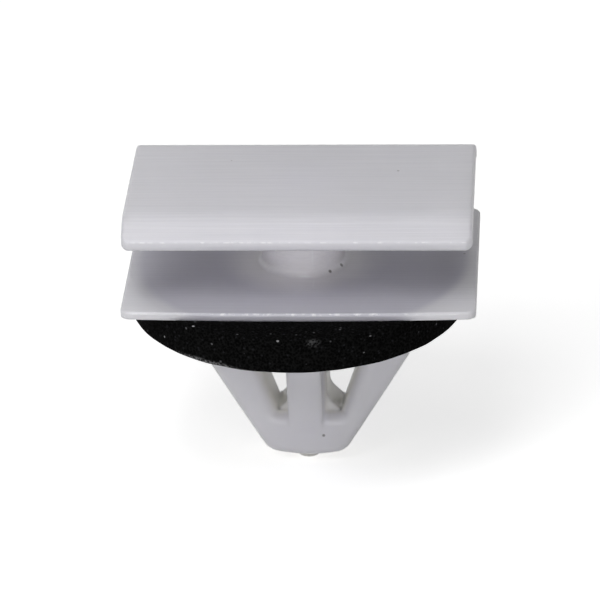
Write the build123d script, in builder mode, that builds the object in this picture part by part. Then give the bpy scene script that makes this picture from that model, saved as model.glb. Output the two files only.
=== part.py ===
from build123d import *

import os
from math import hypot, radians, tan

# A push-in clip for a body moulding. The moulding's channel slides between the head plate and
# the flange, the slotted wedge snaps into a slot in the body panel, and a foam ring under the
# flange seals that slot.
#
# Millimetres. +Z points out of the panel, X runs along the moulding, and the origin is on the
# clip's axis where the seal meets the outside of the panel.

# Stack above the panel
seal_thickness = 2.5
flange_thickness = 0.55
channel_height = 5.5
head_thickness = 0.85

# Head plate: a flat crown with a drooping lip along each long edge
head_length = 24.6
head_width = 15.8
crown_width = 12.2
lip_angle = 35
lip_face = 0.68
bend_radius = 2.2
head_corner_radius = 0.6
head_edge_radius = 0.25

# Flange: a thin plate whose long edges bow outwards
flange_length = 25.0
flange_width = 18.0
flange_bow = 0.35
flange_corner_radius = 0.7
flange_edge_bevel = 0.12

# Neck between the two plates
neck_diameter = 5.9
neck_bevel = 0.3

# Retainer: a flat nose with gently curved broad faces, turned a little on the clip's axis
nose_depth = 11.93
nose_width = 5.65
nose_dome = 0.3
nose_radius = 1.5
nose_thickness = 4.3
nose_face_radius = 30.0
nose_edge_radius = 0.75
plug_twist = 2.0

# Wings: they spread to a crest, then ramp in to a throat that grips the panel
wing_angle = 31.9
crest_depth = 3.6
crest_radius = 0.9
throat_width = 10.8
throat_depth = 1.3
free_end_gap = 0.5

# Slots that free the wings from the post between them, a little to one side of the clip's axis
slot_depth = 8.45
slot_root_width = 4.66
slot_wall_angle = 19
slot_shift = 0.24
slot_root_radius = 0.12
slot_rim_radius = 1.0

# Post: a blade that deepens from the nose to the flange, stiffened by a core
blade_width = 2.5
blade_depth_at_flange = 8.2
blade_start_depth = 9.9
blade_edge_radius = 0.12
core_width = 2.6
core_thickness = 2.8
core_foot_angle = 45
core_foot_radius = 1.2

# Gate nub under the nose
gate_diameter = 2.05
gate_height = 0.67
gate_bevel = 0.25

# Foam seal, pushed a little to one side on its loose fit
seal_diameter = 24.2
seal_offset = -0.42
seal_clearance = 0.1

# Heights worked out from the stack
flange_bottom = seal_thickness
flange_top = flange_bottom + flange_thickness
head_underside = flange_top + channel_height
head_top = head_underside + head_thickness

# Head section: corners of the crown, the lip's face and the underside
lip_slope = tan(radians(lip_angle))
lip_top = head_top - (head_width - crown_width) / 2 * lip_slope
lip_bottom = lip_top - lip_face
inner_crown_half = crown_width / 2 - head_thickness * tan(radians(lip_angle / 2))

# Retainer outline
nose_bottom = -nose_depth
nose_corner = nose_bottom + nose_dome
crest_height = -crest_depth
crest_half_width = nose_width / 2 + (crest_height - nose_corner) * tan(radians(wing_angle))
wing_top = -free_end_gap
slot_floor = -slot_depth
slot_root_half = slot_root_width / 2
wing_inner_half = slot_root_half + (wing_top - slot_floor) * tan(radians(slot_wall_angle))
slot_plane = Plane.XZ.shift_origin((slot_shift, 0, 0))


def at_height(height):
    """A test for edges and vertices that lie at a height."""
    return lambda shape: abs(shape.center().Z - height) < 0.01


def outer_edges(faces):
    """The edges round a group of faces, without the ones they share."""
    every_edge = [edge for face in faces for edge in face.edges()]
    return faces.edges().filter_by(lambda edge: sum(edge.is_same(other) for other in every_edge) == 1)


def slots_beside(post_width, floor_angle, foot_radius):
    """The two slots that leave a post of this width, on a foot that spreads to the wings at an angle."""
    half_width = post_width / 2
    foot = slot_floor + (slot_root_half - half_width) * tan(radians(floor_angle))
    with BuildSketch(slot_plane) as slots:
        with BuildLine() as outline:
            Polyline(
                (half_width, flange_bottom),
                (half_width, foot),
                (slot_root_half, slot_floor),
                (wing_inner_half, wing_top),
                (wing_inner_half, flange_bottom),
                close=True,
            )
        make_face(outline.edges())
        mirror(about=Plane.YZ)
        fillet(slots.vertices().filter_by(lambda v: abs(abs(v.X) - slot_root_half) < 0.01), slot_root_radius)
        post_sides = slots.vertices().filter_by(lambda v: abs(abs(v.X) - half_width) < 0.01)
        fillet(post_sides.group_by(Axis.Y)[0], foot_radius)
    return slots.sketch


blade_slots = slots_beside(blade_width, 0, slot_root_radius)
core_slots = slots_beside(core_width, core_foot_angle, core_foot_radius)

# The retainer's broad faces: what two shallow upright cylinders share
with BuildPart() as lens:
    for side, mode in ((-1, Mode.ADD), (1, Mode.INTERSECT)):
        with BuildSketch(Plane.XY.offset(nose_bottom)):
            with Locations((0, side * (nose_thickness / 2 - nose_face_radius))):
                Circle(nose_face_radius)
        extrude(amount=nose_depth, mode=mode)

# The same with both slots cut, and the slots' rims rounded over
with BuildPart() as slotted_lens:
    add(lens.part)
    extrude(blade_slots, amount=nose_thickness, both=True, mode=Mode.SUBTRACT)
    slot_rims = slotted_lens.edges().filter_by(lambda e: abs(e.center().X) < wing_inner_half)
    slot_rims = slot_rims.filter_by(lambda e: abs(e.center().Y) > nose_thickness / 4)
    fillet(slot_rims.filter_by(lambda e: nose_bottom < e.center().Z < -0.01), slot_rim_radius)

# Nose and wings: the outline cut from the faces and rounded, then kept where the slotted body is
with BuildPart() as retainer:
    add(lens.part)
    with BuildSketch(Plane.XZ) as wing_outline:
        with BuildLine():
            TangentArc((0, nose_bottom), (nose_width / 2, nose_corner), tangent=(1, 0))
            Polyline(
                (nose_width / 2, nose_corner),
                (crest_half_width, crest_height),
                (throat_width / 2, -throat_depth),
                (throat_width / 2, wing_top),
                (0, wing_top),
                (0, nose_bottom),
            )
        make_face()
        mirror(about=Plane.YZ)
        fillet(wing_outline.vertices().filter_by(lambda v: abs(v.X) > 1).sort_by(Axis.Y)[:2], nose_radius)
        fillet(wing_outline.vertices().sort_by(Axis.X)[0], crest_radius)
        fillet(wing_outline.vertices().sort_by(Axis.X)[-1], crest_radius)
    extrude(amount=nose_thickness, both=True, mode=Mode.INTERSECT)
    rims = retainer.faces().sort_by(Axis.Y)[0].edges() + retainer.faces().sort_by(Axis.Y)[-1].edges()
    fillet(rims.filter_by(lambda e: e.center().Z < wing_top - 0.01), nose_edge_radius)
    add(slotted_lens.part, mode=Mode.INTERSECT)

    with BuildSketch(Plane.XY.offset(nose_bottom + nose_dome)):
        Circle(gate_diameter / 2)
    extrude(amount=-(gate_height + nose_dome))
    chamfer(retainer.edges().sort_by(Axis.Z)[0], gate_bevel)

# The blade: it leaves the nose's faces below the slots, and stands prouder towards the flange
with BuildPart() as blade:
    with BuildSketch(Plane.YZ):
        with BuildLine():
            Polyline(
                (0, -blade_start_depth),
                (nose_thickness / 2, -blade_start_depth),
                (blade_depth_at_flange / 2, flange_bottom),
                (0, flange_bottom),
                close=True,
            )
        make_face()
        mirror(about=Plane.YZ)
    extrude(amount=blade_width / 2, both=True)
    fillet(blade.edges().filter_by(lambda e: e.length > blade_start_depth), blade_edge_radius)

# The core: what its own pair of slots leaves, down to the slot floor
with BuildPart() as core:
    with BuildSketch(Plane.XZ):
        with Locations((slot_shift, slot_floor)):
            Rectangle(slot_root_width, flange_bottom - slot_floor, align=(Align.CENTER, Align.MIN))
        add(core_slots, mode=Mode.SUBTRACT)
    extrude(amount=core_thickness / 2, both=True)

with BuildPart() as head:
    with BuildSketch(Plane.YZ) as head_section:
        with BuildLine():
            Polyline(
                (0, head_top),
                (crown_width / 2, head_top),
                (head_width / 2, lip_top),
                (head_width / 2, lip_bottom),
                (inner_crown_half, head_underside),
                (0, head_underside),
                close=True,
            )
        make_face()
        mirror(about=Plane.YZ)
        crown_corners = head_section.vertices().filter_by(lambda v: abs(abs(v.X) - crown_width / 2) < 0.01)
        fillet(crown_corners, bend_radius)
        inner_corners = head_section.vertices().filter_by(lambda v: abs(abs(v.X) - inner_crown_half) < 0.01)
        fillet(inner_corners, bend_radius - head_thickness)
    extrude(amount=head_length / 2, both=True)
    fillet(head.edges().filter_by(Axis.Z), head_corner_radius)
    fillet(outer_edges(head.faces().filter_by(lambda f: f.normal_at().Z > 0.1)), head_edge_radius)

with BuildPart() as flange:
    with BuildSketch(Plane.XY.offset(flange_bottom)) as flange_outline:
        half_length = flange_length / 2
        end_half = flange_width / 2 - flange_bow
        with BuildLine():
            ThreePointArc((-half_length, -end_half), (0, -flange_width / 2), (half_length, -end_half))
            Line((half_length, -end_half), (half_length, end_half))
            ThreePointArc((half_length, end_half), (0, flange_width / 2), (-half_length, end_half))
            Line((-half_length, end_half), (-half_length, -end_half))
        make_face()
        fillet(flange_outline.vertices(), flange_corner_radius)
    extrude(amount=flange_thickness)
    chamfer(flange.edges().filter_by(at_height(flange_top)), flange_edge_bevel)

with BuildPart() as clip_body:
    add(head.part)
    add(flange.part)
    with BuildSketch(Plane.XY.offset(flange_top)):
        Circle(neck_diameter / 2)
    extrude(amount=channel_height)
    neck_ends = clip_body.edges().filter_by(GeomType.CIRCLE)
    chamfer(neck_ends.filter_by(lambda e: abs(e.radius - neck_diameter / 2) < 0.001), neck_bevel)
    add(retainer.part, rotation=(0, 0, -plug_twist))
    add(blade.part, rotation=(0, 0, -plug_twist))
    add(core.part, rotation=(0, 0, -plug_twist))
clip_body.part.label = "clip_body"

with BuildPart() as seal_washer:
    blade_reach = hypot(blade_width, blade_depth_at_flange) / 2
    with BuildSketch(Plane.XY):
        with Locations((seal_offset, 0)):
            Circle(seal_diameter / 2)
            Circle(blade_reach + abs(seal_offset) + seal_clearance, mode=Mode.SUBTRACT)
    extrude(amount=seal_thickness)
seal_washer.part.label = "seal_washer"

os.makedirs("parts", exist_ok=True)
export_step(clip_body.part, "parts/clip_body.step")
export_step(seal_washer.part, "parts/seal_washer.step")
for piece in (clip_body, seal_washer):
    print(piece.part.label, len(piece.part.solids()), "solid,", round(piece.part.volume, 2), "mm3")
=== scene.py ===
# %% [markdown]
# # A push-in clip for a body moulding
#
# This lesson gives the real look to a small clip that was drawn in CAD. The clip has two pieces:
# one moulding in natural nylon, and a black foam ring that seals the slot it is pushed into.
#
# The CAD comes in as a fixed frame, in which every piece already lies where it should, in metres.
# The nylon moulding keeps its CAD mesh and gets a material. The ring could keep its mesh as well,
# but cut foam has softer edges than a CAD solid has, so it gets a mesh of its own further down.

import math

import bmesh
import bpy
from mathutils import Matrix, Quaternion, Vector, noise


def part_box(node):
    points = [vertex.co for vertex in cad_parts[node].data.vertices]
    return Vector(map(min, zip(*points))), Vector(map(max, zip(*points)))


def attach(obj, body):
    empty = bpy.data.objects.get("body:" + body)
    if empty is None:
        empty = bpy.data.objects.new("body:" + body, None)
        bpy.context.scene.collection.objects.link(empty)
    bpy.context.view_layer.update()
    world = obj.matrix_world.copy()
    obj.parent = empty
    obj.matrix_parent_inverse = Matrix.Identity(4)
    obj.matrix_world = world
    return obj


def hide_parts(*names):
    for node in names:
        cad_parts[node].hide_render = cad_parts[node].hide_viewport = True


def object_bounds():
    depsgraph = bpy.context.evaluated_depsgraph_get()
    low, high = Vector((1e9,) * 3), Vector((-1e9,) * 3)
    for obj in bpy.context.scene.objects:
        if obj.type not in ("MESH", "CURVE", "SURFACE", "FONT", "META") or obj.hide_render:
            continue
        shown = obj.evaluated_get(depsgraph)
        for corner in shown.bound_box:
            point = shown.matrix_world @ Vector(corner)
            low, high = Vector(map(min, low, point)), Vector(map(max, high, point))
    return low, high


MM = 0.001

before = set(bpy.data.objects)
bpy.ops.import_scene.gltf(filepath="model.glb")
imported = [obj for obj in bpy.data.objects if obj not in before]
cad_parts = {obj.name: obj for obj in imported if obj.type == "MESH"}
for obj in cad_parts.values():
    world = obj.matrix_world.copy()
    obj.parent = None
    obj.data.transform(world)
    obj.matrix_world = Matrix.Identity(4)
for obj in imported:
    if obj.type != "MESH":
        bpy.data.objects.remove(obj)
cad_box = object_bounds()
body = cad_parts["clip_body"]
clip_size = [round(side / MM, 1) for side in cad_box[1] - cad_box[0]]
print("clip body", len(body.data.polygons), "faces, whole clip", clip_size, "mm")

# %% [markdown]
# ## The camera
#
# The photograph looks down on the clip's long side from a little to its right, with a long lens.
# A camera could be placed by coordinates, but it is easier to think of the direction it looks
# from, so its place is worked out from two angles and a distance. The photographer's camera was
# tipped by a degree or two as well. The lamps below are placed by the same two angles.


# %% Place the camera
def direction_to(azimuth, elevation):
    """The way from the clip to something at an azimuth and an elevation, both in degrees."""
    turn, lift = math.radians(azimuth), math.radians(elevation)
    return Vector((math.sin(turn) * math.cos(lift), -math.cos(turn) * math.cos(lift), math.sin(lift)))


camera_roll = math.radians(-1.7)
camera_distance = 322 * MM
camera_aim = Vector((-0.367, 0, -0.235)) * MM
toward_camera = direction_to(3.85, 26.08)

camera = bpy.data.objects.new("camera", bpy.data.cameras.new("camera"))
camera.data.sensor_width = 36
camera.data.lens = 268.12
camera.data.clip_start = 10 * MM
camera.location = camera_aim + toward_camera * camera_distance
camera.rotation_mode = "QUATERNION"
camera.rotation_quaternion = toward_camera.to_track_quat("Z", "Y") @ Quaternion((0, 0, 1), camera_roll)
bpy.context.collection.objects.link(camera)
bpy.context.scene.camera = camera
print("camera at", [round(c, 4) for c in camera.location])

# %% [markdown]
# ## Colours and nodes
#
# Colours are written as they look on a screen and turned to the linear values that the
# renderer works in. One small function adds a node with its settings and its links, so that
# each material below reads as a list of what it is made of. The settings that come up most
# often have names.


# %% Helpers for the materials
def linear(hex_colour):
    """A screen colour such as "d8d6da" as linear red, green, blue and alpha."""
    channels = [int(hex_colour[i : i + 2], 16) / 255 for i in (0, 2, 4)]
    return [c / 12.92 if c <= 0.04045 else ((c + 0.055) / 1.055) ** 2.4 for c in channels] + [1.0]


def add_node(tree, kind, settings=None, inputs=None):
    """A new node. inputs gives each socket a value, or another node's output to link from."""
    node = tree.nodes.new(kind)
    for name, value in (settings or {}).items():
        setattr(node, name, value)
    for key, value in (inputs or {}).items():
        if isinstance(value, bpy.types.NodeSocket):
            tree.links.new(value, node.inputs[key])
        else:
            node.inputs[key].default_value = value
    return node


def new_material(name):
    """An empty material, with its node tree and its output node."""
    material = bpy.data.materials.new(name)
    material.use_nodes = True
    material.node_tree.nodes.clear()
    return material, material.node_tree, material.node_tree.nodes.new("ShaderNodeOutputMaterial")


MULTIPLY = {"operation": "MULTIPLY"}
GREATER_THAN = {"operation": "GREATER_THAN"}
LESS_THAN = {"operation": "LESS_THAN"}
MAXIMUM = {"operation": "MAXIMUM"}
SMOOTH_STEP = {"interpolation_type": "SMOOTHSTEP"}
COLOURS = {"data_type": "RGBA"}
NUMBERS = {"data_type": "FLOAT"}
print("white is", linear("ffffff"))

# %% [markdown]
# ## Natural nylon
#
# The body is polyamide 6.6 without a pigment, injection moulded. Light sinks millimetres deep into
# it and comes out again, which softens every shadow and lets thin walls glow. White paint would
# look like chalk beside it, so the shader scatters light under the surface. Its colour drifts a
# little over the part, as the melt cooled unevenly, and a coarse noise gives that drift.

# %% Colour of the nylon
nylon, tree, output = new_material("natural nylon, injection moulded")
place = add_node(tree, "ShaderNodeTexCoord").outputs["Object"]
cloud_size = 6 * MM
clouds = add_node(
    tree, "ShaderNodeTexNoise",
    inputs={"Vector": place, "Scale": 1 / cloud_size, "Detail": 3.0},
)
nylon_colour = add_node(
    tree, "ShaderNodeMix", COLOURS,
    {"Factor": clouds.outputs["Fac"], "A": linear("dfdee5"), "B": linear("e8e6ee")},
).outputs["Result"]
print("clouds of", cloud_size / MM, "mm")

# %% [markdown]
# In the middle of the retainer the walls of the slots face one another, and they look warmer and
# lighter than the broad faces do, from light that passes through the thin wings and bounces between
# them. Bounced light alone would keep them as cool as the faces, so this is painted light: a warmer,
# lighter colour is mixed in. What tells a wall from a face is how near it lies to the clip's middle
# plane. The broad faces come nearer to that plane towards the wings, so a little is added to the distance
# there. Nothing changes on the plates above the panel.

# %% Painted light on the slot walls
slot_light_starts, slot_light_full, face_radius = 2.05 * MM, 1.1 * MM, 30 * MM
along, across, height = add_node(tree, "ShaderNodeSeparateXYZ", inputs={"Vector": place}).outputs
along_squared = add_node(tree, "ShaderNodeMath", MULTIPLY, {0: along, 1: along}).outputs["Value"]
from_middle = add_node(tree, "ShaderNodeMath", {"operation": "ABSOLUTE"}, {0: across}).outputs["Value"]
from_curved_middle = add_node(
    tree, "ShaderNodeMath", {"operation": "MULTIPLY_ADD"},
    {0: along_squared, 1: 1 / (2 * face_radius), 2: from_middle},
).outputs["Value"]
between_walls = add_node(
    tree, "ShaderNodeMapRange", SMOOTH_STEP,
    {"Value": from_curved_middle, "From Min": slot_light_starts, "From Max": slot_light_full},
).outputs["Result"]

panel_height = 0 * MM
on_plates = add_node(tree, "ShaderNodeMath", GREATER_THAN, {0: height, 1: panel_height}).outputs["Value"]
off_plates = add_node(
    tree, "ShaderNodeMath", {"operation": "SUBTRACT"}, {0: 1.0, 1: on_plates}
).outputs["Value"]
painted_slot_light = add_node(tree, "ShaderNodeMath", MULTIPLY, {0: between_walls, 1: off_plates}).outputs["Value"]
# Painted light: a warmer, lighter colour on the slot walls, for light that passes through the wings.
nylon_colour = add_node(
    tree, "ShaderNodeMix", COLOURS, {"Factor": painted_slot_light, "A": nylon_colour, "B": linear("fbf8f2")}
).outputs["Result"]
print("walls are warm up to", slot_light_starts / MM, "mm from the middle plane")

# %% [markdown]
# The flange is thin, and black foam lies under it. Light that goes through is lost there, red
# more than blue, so the flange is darker and bluer over the foam than at its ends. The scattering
# shows only part of that, so the rest is painted shade: a darker, bluer colour is mixed in within
# the ring's radius. The same painted shade gives the soft dark arcs near the flange's two ends.

# %% Painted shade on the flange over the foam
foam_edge, foam_full, flange_top = 12.3 * MM, 11.3 * MM, 3.1 * MM
flat_place = add_node(tree, "ShaderNodeVectorMath", MULTIPLY, {0: place, 1: (1, 1, 0)}).outputs["Vector"]
from_axis = add_node(
    tree, "ShaderNodeVectorMath", {"operation": "LENGTH"}, {0: flat_place}
).outputs["Value"]
over_foam = add_node(
    tree, "ShaderNodeMapRange", SMOOTH_STEP,
    {"Value": from_axis, "From Min": foam_edge, "From Max": foam_full},
).outputs["Result"]
below_top = add_node(tree, "ShaderNodeMath", LESS_THAN, {0: height, 1: flange_top}).outputs["Value"]
on_flange = add_node(tree, "ShaderNodeMath", MULTIPLY, {0: on_plates, 1: below_top}).outputs["Value"]
painted_flange_shade = add_node(tree, "ShaderNodeMath", MULTIPLY, {0: over_foam, 1: on_flange}).outputs["Value"]
# Painted shade: a darker, bluer colour on the flange over the foam.
nylon_colour = add_node(
    tree, "ShaderNodeMix", COLOURS, {"Factor": painted_flange_shade, "A": nylon_colour, "B": linear("d1cfdc")}
).outputs["Result"]
print("flange is bluer within", foam_edge / MM, "mm of the axis")

# %% [markdown]
# Nylon looks whiter the thicker it is. The neck is the thickest part, and light that enters the
# head comes out round its foot. Deeper scattering would show it, but would blur the streaks and
# edges of the whole part too, so that glow is painted light: the colour itself rises towards the clip's
# axis below the head.

# %% Painted glow round the neck
neck_reach, glow_reach, head_inside = 2.9 * MM, 6.5 * MM, 8.4 * MM
near_neck = add_node(
    tree, "ShaderNodeMapRange", SMOOTH_STEP,
    {"Value": from_axis, "From Min": glow_reach, "From Max": neck_reach},
).outputs["Result"]
below_head = add_node(tree, "ShaderNodeMath", LESS_THAN, {0: height, 1: head_inside}).outputs["Value"]
in_gap = add_node(tree, "ShaderNodeMath", MULTIPLY, {0: on_plates, 1: below_head}).outputs["Value"]
painted_neck_glow = add_node(tree, "ShaderNodeMath", MULTIPLY, {0: near_neck, 1: in_gap}).outputs["Value"]
# Painted glow: a whiter colour round the neck's foot, below the head.
nylon_colour = add_node(
    tree, "ShaderNodeMix", COLOURS, {"Factor": painted_neck_glow, "A": nylon_colour, "B": linear("f8f5f7")}
).outputs["Result"]
print("neck's glow reaches", glow_reach / MM, "mm from the axis")

# %% [markdown]
# Small dark specks are burnt grains of resin, trapped in the moulding. A scatter of random dots
# would give some, but most of these lie where the real ones do. Each is a point with a radius:
# the distance to it, turned into a soft dot, changes the colour. A dot that is squeezed before
# the distance is taken comes out drawn into a line, such as the pale witness line that the two
# halves of the mould leave down the front of the neck. The short white dash across the front of
# the neck's foot is a painted highlight, where its chamfer catches the light.


# %% Helper for the marks
def dots(tree, place, marks):
    """A factor that is strong in the middle of each mark, whose centre and radius are in mm."""
    full_share = 0.3
    factor = 0.0
    for centre, radius, strength, squeeze in marks:
        squeezed = add_node(tree, "ShaderNodeVectorMath", MULTIPLY, {0: place, 1: squeeze})
        distance = add_node(
            tree, "ShaderNodeVectorMath", {"operation": "DISTANCE"},
            {0: squeezed.outputs["Vector"], 1: Vector(centre) * squeeze * MM},
        ).outputs["Value"]
        edge, full = radius * MM, full_share * radius * MM
        dot = add_node(
            tree, "ShaderNodeMapRange", SMOOTH_STEP,
            {"Value": distance, "From Min": edge, "From Max": full, "To Max": strength},
        ).outputs["Result"]
        factor = add_node(tree, "ShaderNodeMath", MAXIMUM, {0: factor, 1: dot}).outputs["Value"]
    return factor


# %% Specks and lines
round_dot = Vector((1, 1, 1))
burnt = dots(tree, place, (
    ((1.21, -2.15, -10.12), 0.16, 0.7, round_dot),
    ((2.0, -2.36, 3.2), 0.18, 0.8, round_dot),
    ((2.76, -1.35, 3.2), 0.2, 0.8, round_dot),
    ((-2.96, -7.24, 8.95), 0.14, 0.35, round_dot),
    ((6.83, 1.27, 9.4), 0.14, 0.45, round_dot),
    ((11.49, 0.86, 3.05), 0.14, 0.4, round_dot),
    ((-5.2, 3.1, 9.4), 0.1, 0.3, round_dot),
    ((4.1, 2.15, -6.2), 0.13, 0.4, round_dot),
))
pale_marks_and_highlight = dots(tree, place, (
    ((0.81, -2.84, 5.4), 0.09, 0.6, Vector((1, 1, 0.04))),
    # Painted highlight: a white dash across the front of the neck's foot.
    ((0.25, -3.12, 3.16), 0.11, 0.9, Vector((0.15, 1, 1))),
    ((0.9, -4.0, 3.05), 0.08, 0.3, Vector((1, 0.08, 1))),
))
for factor, colour in ((burnt, "4a443e"), (pale_marks_and_highlight, "ffffff")):
    nylon_colour = add_node(
        tree, "ShaderNodeMix", COLOURS, {"Factor": factor, "A": nylon_colour, "B": linear(colour)}
    ).outputs["Result"]
print("nylon has", len(tree.nodes), "nodes so far")

# %% [markdown]
# Scattering would blur such small marks away, because it mixes the light of several millimetres.
# So its weight falls to nothing at each mark, where the light stays on the surface.

# %% How much the light scatters
scatter_weight = 0.75
marked = add_node(tree, "ShaderNodeMath", MAXIMUM, {0: burnt, 1: pale_marks_and_highlight}).outputs["Value"]
scatter = add_node(
    tree, "ShaderNodeMix", NUMBERS, {"Factor": marked, "A": scatter_weight, "B": 0.0}
).outputs["Result"]
print("scattering weighs", scatter_weight)

# %% [markdown]
# The mould leaves long fine streaks along the plates, where the cutter that made the steel ran to
# and fro. Noise that is stretched along the clip gives them. They catch the light: the colour is a
# little lighter and darker along them, which is painted light and shade, and a bump gives them relief
# further down.

# %% Streaks along the plates, with painted light and shade
streak_length, streak_width = 9 * MM, 0.16 * MM
stretch = (1 / streak_length, 1 / streak_width, 1 / streak_width)
stretched = add_node(
    tree, "ShaderNodeMapping", inputs={"Vector": place, "Scale": stretch}
).outputs["Vector"]
streaks = add_node(
    tree, "ShaderNodeTexNoise", inputs={"Vector": stretched, "Scale": 1.0, "Detail": 3.0}
).outputs["Fac"]
streak_dark, streak_light = 0.3, 0.7
streak_shade = add_node(
    tree, "ShaderNodeMapRange",
    inputs={"Value": streaks, "From Min": streak_dark, "From Max": streak_light},
).outputs["Result"]
painted_streak_sheen = add_node(
    tree, "ShaderNodeMix", COLOURS,
    {"Factor": streak_shade, "A": linear("f8f8f9"), "B": linear("ffffff")},
).outputs["Result"]
# Painted light and shade along the streaks on the plates.
nylon_colour = add_node(
    tree, "ShaderNodeMix", {"data_type": "RGBA", "blend_type": "MULTIPLY"},
    {"Factor": on_plates, "A": nylon_colour, "B": painted_streak_sheen},
).outputs["Result"]
print("streaks", streak_length / MM, "mm long and", streak_width / MM, "mm wide")

# %% [markdown]
# Thin broken lines along the edges are whiter than the rest: painted highlight, where the rims
# catch the light. They could be painted by place, but the Bevel node finds the edges by
# itself: it turns the normal near an edge, and where it differs from the true one there is an
# edge. The parts near the clip's axis are left out.

# %% Find the edges
glint_reach = 0.09 * MM
likeness_starts, likeness_full = 0.98, 0.9
neck_clear = 6.5 * MM
true_normal = add_node(tree, "ShaderNodeNewGeometry").outputs["Normal"]
turned = add_node(tree, "ShaderNodeBevel", {"samples": 6}, {"Radius": glint_reach}).outputs["Normal"]
likeness = add_node(
    tree, "ShaderNodeVectorMath", {"operation": "DOT_PRODUCT"}, {0: true_normal, 1: turned}
).outputs["Value"]
any_edge = add_node(
    tree, "ShaderNodeMapRange",
    inputs={"Value": likeness, "From Min": likeness_starts, "From Max": likeness_full},
).outputs["Result"]
off_neck = add_node(tree, "ShaderNodeMath", GREATER_THAN, {0: from_axis, 1: neck_clear}).outputs["Value"]
on_edge = add_node(tree, "ShaderNodeMath", MULTIPLY, {0: any_edge, 1: off_neck}).outputs["Value"]
print("scuffs reach", glint_reach / MM, "mm from an edge")

# %% [markdown]
# The plates' long edges are already rounded or bevelled in the CAD, so the Bevel node turns
# little there. Three lines drawn along them carry the painted highlight there. Noise then breaks up
# both kinds of painted highlight into short dashes.

# %% Painted highlights on the edges
along_plate = Vector((0.002, 0.4, 1))
glint_lines_on_rims = dots(tree, place, (
    ((0, -7.9, 8.08), 0.07, 0.8, along_plate),
    ((0, 7.9, 8.08), 0.07, 0.8, along_plate),
    ((0, -8.9, 3.0), 0.08, 0.8, along_plate),
))
dash_size = 0.5 * MM
dash_starts, dash_full = 0.5, 0.64
dashes = add_node(
    tree, "ShaderNodeTexNoise",
    inputs={"Vector": place, "Scale": 1 / dash_size, "Detail": 4.0},
)
dash = add_node(
    tree, "ShaderNodeMapRange",
    inputs={"Value": dashes.outputs["Fac"], "From Min": dash_starts, "From Max": dash_full},
).outputs["Result"]
edge_glint_lines = add_node(tree, "ShaderNodeMath", MAXIMUM, {0: on_edge, 1: glint_lines_on_rims}).outputs["Value"]
painted_edge_glint = add_node(tree, "ShaderNodeMath", MULTIPLY, {0: edge_glint_lines, 1: dash}).outputs["Value"]
# Painted highlight: whiter broken lines along the edges.
nylon_colour = add_node(
    tree, "ShaderNodeMix", COLOURS, {"Factor": painted_edge_glint, "A": nylon_colour, "B": linear("fcfbff")}
).outputs["Result"]
scatter = add_node(
    tree, "ShaderNodeMix", NUMBERS, {"Factor": painted_edge_glint, "A": scatter, "B": 0.0}
).outputs["Result"]
print("dashes of", dash_size / MM, "mm")

# %% [markdown]
# Three things turn the surface itself. Every edge of a moulding is a little soft, more so on the
# neck and the retainer than at the plates' rims, and a second Bevel node rounds them in the
# shading. The streaks stand up by a few hundredths of a millimetre on the plates. The grain of the
# mould's spark-eroded faces is about 0.03 mm on a real clip, too fine to show, so it is drawn
# three times coarser.

# %% Soft edges, streaks and grain
crisp_radius, soft_radius = 0.12 * MM, 0.45 * MM
is_plate = add_node(tree, "ShaderNodeMath", MULTIPLY, {0: on_plates, 1: off_neck}).outputs["Value"]
edge_radius = add_node(
    tree, "ShaderNodeMapRange",
    inputs={"Value": is_plate, "To Min": soft_radius, "To Max": crisp_radius},
).outputs["Result"]
soft_edges = add_node(tree, "ShaderNodeBevel", {"samples": 8}, {"Radius": edge_radius}).outputs["Normal"]

streak_height, streak_strength = 0.03 * MM, 0.5
streak_share = add_node(
    tree, "ShaderNodeMath", MULTIPLY, {0: on_plates, 1: streak_strength}
).outputs["Value"]
streak_bump = add_node(
    tree, "ShaderNodeBump",
    inputs={"Height": streaks, "Strength": streak_share, "Distance": streak_height, "Normal": soft_edges},
).outputs["Normal"]

grain_size, grain_height, grain_strength = 0.09 * MM, 0.01 * MM, 0.15
grain = add_node(
    tree, "ShaderNodeTexNoise",
    inputs={"Vector": place, "Scale": 1 / grain_size, "Detail": 2.0},
).outputs["Fac"]
grain_bump = add_node(
    tree, "ShaderNodeBump",
    inputs={"Height": grain, "Strength": grain_strength, "Distance": grain_height, "Normal": streak_bump},
).outputs["Normal"]
print("grain of", grain_size / MM, "mm")

# %% [markdown]
# The shader puts it together. A random walk follows the light through thin walls better than the
# older methods do. The light sinks in by nearly 4 mm, blue a little less than red and green. The
# eroded faces give a soft gloss, so the roughness is that of a satin plastic.

# %% Finish the nylon
scatter_depth = 4.0 * MM
shader = add_node(
    tree, "ShaderNodeBsdfPrincipled", {"subsurface_method": "RANDOM_WALK"},
    {
        "Base Color": nylon_colour,
        "Roughness": 0.38,
        "IOR": 1.53,
        "Subsurface Weight": scatter,
        "Subsurface Radius": (0.95, 0.95, 0.9),
        "Subsurface Scale": scatter_depth,
        "Normal": grain_bump,
    },
)
tree.links.new(shader.outputs["BSDF"], output.inputs["Surface"])
body.data.materials.clear()
body.data.materials.append(nylon)
print("nylon has", len(tree.nodes), "nodes")

# %% [markdown]
# ## The foam ring
#
# The seal is punched out of a sheet of closed-cell foam. A cylinder with a hole cut in it would
# need a boolean and leave long thin faces, so a square section is spun round the axis instead.
# The knife leaves the ring's edges a little soft. Its size is measured on the CAD ring that it
# stands for, so that the two can't drift apart.

# %% Measure the CAD ring
ring_low, ring_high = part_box("seal_washer")
seal_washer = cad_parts["seal_washer"]
ring_centre = (ring_low + ring_high) / 2
ring_radius = (ring_high.x - ring_low.x) / 2
hole_radius = min((vertex.co - ring_centre).xy.length for vertex in seal_washer.data.vertices)
print("foam ring radius", round(ring_radius / MM, 2), "hole", round(hole_radius / MM, 2), "mm")

# %% Spin the ring
ring_steps = 256
section_cuts = 5
knife_radius = 0.12 * MM
same_point = 0.001 * MM
sharp_angle = math.radians(60)

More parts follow.
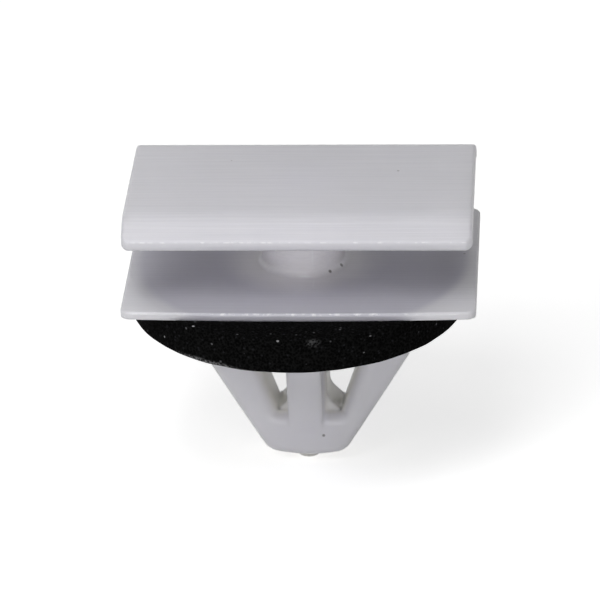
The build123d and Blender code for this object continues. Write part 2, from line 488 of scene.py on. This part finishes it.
mesh = bmesh.new()
corners = [
    mesh.verts.new((x, 0, z))
    for x, z in (
        (hole_radius, ring_low.z),
        (ring_radius, ring_low.z),
        (ring_radius, ring_high.z),
        (hole_radius, ring_high.z),
    )
]
section = [mesh.edges.new((corners[i], corners[(i + 1) % 4])) for i in range(4)]
bmesh.ops.subdivide_edges(mesh, edges=section, cuts=section_cuts)
bmesh.ops.spin(
    mesh, geom=mesh.verts[:] + mesh.edges[:], cent=(0, 0, 0), axis=(0, 0, 1),
    angle=math.tau, steps=ring_steps, use_merge=True, use_duplicate=False,
)
bmesh.ops.remove_doubles(mesh, verts=mesh.verts, dist=same_point)
bmesh.ops.recalc_face_normals(mesh, faces=mesh.faces)
rims = [edge for edge in mesh.edges if edge.calc_face_angle() > sharp_angle]
bmesh.ops.bevel(
    mesh, geom=rims, offset=knife_radius, offset_type="OFFSET", segments=3,
    profile=0.5, affect="EDGES", material=-1,
)
bmesh.ops.translate(mesh, verts=mesh.verts, vec=(ring_centre.x, ring_centre.y, 0))
print("spun ring", len(mesh.faces), "faces")

# %% [markdown]
# A foam sheet is never quite flat. A bump would leave the ring's outline perfect, so each point
# is moved by a few hundredths of a millimetre instead, along a noise. Left to itself, the noise
# starts from the clock and differs each time, so it is given a seed.


# %% Let the sheet be a little uneven
def object_from(mesh, name):
    """Turns a bmesh into an object at the origin, and frees the bmesh."""
    data = bpy.data.meshes.new(name)
    mesh.to_mesh(data)
    mesh.free()
    made = bpy.data.objects.new(name, data)
    bpy.context.collection.objects.link(made)
    return made


unevenness, unevenness_size = 0.03 * MM, 1.5 * MM
sheet_seed = 1
noise.seed_set(sheet_seed)
for vertex in mesh.verts:
    vertex.co += noise.noise_vector(vertex.co / unevenness_size) * unevenness
for face in mesh.faces:
    face.smooth = True
ring = object_from(mesh, "foam_ring")
print("foam ring", len(ring.data.polygons), "faces")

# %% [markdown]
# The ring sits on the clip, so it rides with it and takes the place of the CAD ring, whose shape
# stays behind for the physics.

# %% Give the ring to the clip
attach(ring, "root")
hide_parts("seal_washer")
print("foam ring rides on the clip")

# %% [markdown]
# ## Black closed-cell foam
#
# The skin of the sheet is a field of tiny burst cells. They are far too small to model, so a
# cell pattern raises and sinks the surface in the shader, and makes the cells' rims a little less
# black than their floors.

# %% Cells of the foam
foam, tree, output = new_material("black closed-cell foam, die cut")
place = add_node(tree, "ShaderNodeTexCoord").outputs["Object"]
cell_size, cell_height, cell_strength = 0.16 * MM, 0.05 * MM, 0.6
rim_starts, rim_full = 0.3, 0.8
cells = add_node(
    tree, "ShaderNodeTexVoronoi", inputs={"Vector": place, "Scale": 1 / cell_size}
).outputs["Distance"]
foam_bump = add_node(
    tree, "ShaderNodeBump", inputs={"Height": cells, "Strength": cell_strength, "Distance": cell_height}
).outputs["Normal"]
cell_rims = add_node(
    tree, "ShaderNodeMapRange",
    inputs={"Value": cells, "From Min": rim_starts, "From Max": rim_full},
).outputs["Result"]
foam_colour = add_node(
    tree, "ShaderNodeMix", COLOURS,
    {"Factor": cell_rims, "A": linear("030303"), "B": linear("151515")},
).outputs["Result"]
print("cells of", cell_size / MM, "mm")

# %% [markdown]
# White dust clings to the foam. Thousands of small pieces would give it, but would be heavy and
# hard to spread. So each mote is the middle of one cell of a coarser pattern, whose random colour
# picks the few that show. There are three sizes, and the larger ones are fewer and paler.

# %% Dust
for dust_size, dot_radius, share, colour in (
    (0.3 * MM, 0.4, 0.3, "202022"),
    (0.6 * MM, 0.2, 0.25, "505052"),
    (1.2 * MM, 0.1, 0.15, "9a9a9c"),
):
    motes = add_node(tree, "ShaderNodeTexVoronoi", inputs={"Vector": place, "Scale": 1 / dust_size})
    lucky = add_node(
        tree, "ShaderNodeSeparateColor", inputs={"Color": motes.outputs["Color"]}
    ).outputs["Red"]
    shows = add_node(tree, "ShaderNodeMath", LESS_THAN, {0: lucky, 1: share}).outputs["Value"]
    near = add_node(
        tree, "ShaderNodeMapRange", SMOOTH_STEP,
        {"Value": motes.outputs["Distance"], "From Min": dot_radius, "From Max": 0.4 * dot_radius},
    ).outputs["Result"]
    dot = add_node(tree, "ShaderNodeMath", MULTIPLY, {0: shows, 1: near}).outputs["Value"]
    foam_colour = add_node(
        tree, "ShaderNodeMix", COLOURS, {"Factor": dot, "A": foam_colour, "B": linear(colour)}
    ).outputs["Result"]
print("foam has", len(tree.nodes), "nodes so far")

# %% [markdown]
# A few fibres of lint and two dusty stretches show most. They lie where the real ones do, drawn
# with the same squeezed dots as the marks on the nylon. The dusty stretches are broken up by the
# foam's cells, because dust sits on their rims.

# %% Lint
fibres = dots(tree, place, (
    ((-7.24, -9.76, 2.5), 0.14, 0.8, Vector((1, 1, 0.6))),
    ((5.17, -10.7, 2.24), 0.08, 0.3, Vector((0.6, 0.6, 1))),
    ((4.74, -11.0, 1.06), 0.08, 0.3, Vector((0.7, 0.7, 1))),
))
dusty = dots(tree, place, (
    ((1.27, -12.1, 2.3), 0.5, 0.1, Vector((0.7, 0.7, 1.1))),
    ((-6.4, -10.2, 0.0), 0.4, 0.45, Vector((0.12, 0.12, 1))),
))
dusty_rims = add_node(tree, "ShaderNodeMath", MULTIPLY, {0: dusty, 1: cell_rims}).outputs["Value"]
lint = add_node(tree, "ShaderNodeMath", MAXIMUM, {0: fibres, 1: dusty_rims}).outputs["Value"]
foam_colour = add_node(
    tree, "ShaderNodeMix", COLOURS, {"Factor": lint, "A": foam_colour, "B": linear("c4c4c6")}
).outputs["Result"]
print("foam has", len(tree.nodes), "nodes with its lint")

# %% [markdown]
# Burst cells swallow nearly all light, whichever way it comes. So the foam is very rough, and its
# specular level is close to nothing.

# %% Finish the foam
shader = add_node(
    tree, "ShaderNodeBsdfPrincipled",
    inputs={
        "Base Color": foam_colour,
        "Roughness": 0.9,
        "Specular IOR Level": 0.01,
        "Normal": foam_bump,
    },
)
tree.links.new(shader.outputs["BSDF"], output.inputs["Surface"])
ring.data.materials.append(foam)
print("foam has", len(tree.nodes), "nodes")

# %% [markdown]
# ## The studio
#
# A product photograph on white: a pale paper floor that keeps a soft shadow, and a white room.
# More light would whiten them, but would bleach the clip as well. So the camera and the clip's
# reflections see both as white, and neither lights the clip. The lamps only reach the paper near
# the clip, so its own glow rises with the distance.


# %% Floor
def sees_white(tree):
    """A factor that is 1 for rays from the camera, from reflections and through clear things."""
    light_path = add_node(tree, "ShaderNodeLightPath")
    seen = light_path.outputs["Is Camera Ray"]
    for kind in ("Is Glossy Ray", "Is Transmission Ray"):
        seen = add_node(
            tree, "ShaderNodeMath", MAXIMUM, {0: seen, 1: light_path.outputs[kind]}
        ).outputs["Value"]
    return seen


floor_size_m = 6.0
mesh = bmesh.new()
bmesh.ops.create_grid(mesh, x_segments=1, y_segments=1, size=floor_size_m / 2)
bmesh.ops.translate(mesh, verts=mesh.verts, vec=(0, 0, cad_box[0][2]))
floor = object_from(mesh, "floor")
print("floor at", round(cad_box[0][2] / MM, 2), "mm")

# %% Paper of the floor
near_reach, far_reach = 30 * MM, 250 * MM
near_glow, far_glow = 0.68, 1.0
paper, tree, output = new_material("white studio paper")
place = add_node(tree, "ShaderNodeTexCoord").outputs["Object"]
reach = add_node(tree, "ShaderNodeVectorMath", {"operation": "LENGTH"}, {0: place}).outputs["Value"]
paper_glow = add_node(
    tree, "ShaderNodeMapRange",
    inputs={
        "Value": reach, "From Min": near_reach, "From Max": far_reach,
        "To Min": near_glow, "To Max": far_glow,
    },
).outputs["Result"]
matt = add_node(tree, "ShaderNodeBsdfDiffuse", inputs={"Color": linear("f4f4f4")}).outputs["BSDF"]
glow = add_node(
    tree, "ShaderNodeEmission", inputs={"Color": linear("ffffff"), "Strength": paper_glow}
).outputs["Emission"]
both = add_node(tree, "ShaderNodeAddShader", inputs={0: matt, 1: glow}).outputs["Shader"]
surface = add_node(
    tree, "ShaderNodeMixShader", inputs={0: sees_white(tree), 1: matt, 2: both}
).outputs["Shader"]
tree.links.new(surface, output.inputs["Surface"])
floor.data.materials.append(paper)
print("paper glows from", near_glow, "to", far_glow)

# %% White room
room_strength, white_strength = 0.02, 1.0
world = bpy.data.worlds.new("white room")
bpy.context.scene.world = world
world.use_nodes = True
tree = world.node_tree
tree.nodes.clear()
output = tree.nodes.new("ShaderNodeOutputWorld")
room_light, room_white = (
    add_node(
        tree, "ShaderNodeBackground", inputs={"Color": linear("ffffff"), "Strength": strength}
    ).outputs["Background"]
    for strength in (room_strength, white_strength)
)
surface = add_node(
    tree, "ShaderNodeMixShader", inputs={0: sees_white(tree), 1: room_light, 2: room_white}
).outputs["Shader"]
tree.links.new(surface, output.inputs["Surface"])
bpy.context.scene.view_settings.view_transform = "Standard"
print("room lights the clip with", room_strength)

# %% [markdown]
# The light is broad and comes mostly from the front. One lamp could be strong enough, but would
# leave the gap between the plates dark. Two lamps hang close to the clip's left front, so the
# light falls off towards the right end and the back, as it does in the photograph. A low lamp
# reaches in between the two plates, and weaker ones stand above and behind, for the other sides.


# %% Lamps
def soft_lamp(name, azimuth, elevation, distance, size, power):
    """A square area lamp that looks at the clip from an azimuth and an elevation in degrees."""
    direction = direction_to(azimuth, elevation)
    lamp = bpy.data.objects.new(name, bpy.data.lights.new(name, "AREA"))
    lamp.data.size = size
    lamp.data.energy = power
    lamp.location = direction * distance
    lamp.rotation_mode = "QUATERNION"
    lamp.rotation_quaternion = direction.to_track_quat("Z", "Y")
    bpy.context.collection.objects.link(lamp)
    return lamp


# Each lamp's azimuth and elevation in degrees, distance and size in metres, and power in watts
for name, azimuth, elevation, distance, size, power in (
    ("high front lamp", -19, 62, 0.165, 0.07, 0.077),
    ("left front lamp", -34, 40, 0.17, 0.06, 0.067),
    ("low front lamp", 0, 2, 0.5, 0.2, 1.0),
    ("top lamp", 0, 88, 0.5, 0.25, 0.16),
    ("back lamp", 180, 50, 0.5, 0.3, 0.14),
    ("right back lamp", 120, 10, 0.5, 0.3, 0.15),
    ("left back lamp", -120, 10, 0.5, 0.3, 0.15),
):
    lamp = soft_lamp(name, azimuth, elevation, distance, size, power)
    print(lamp.name, "gives", power, "W")
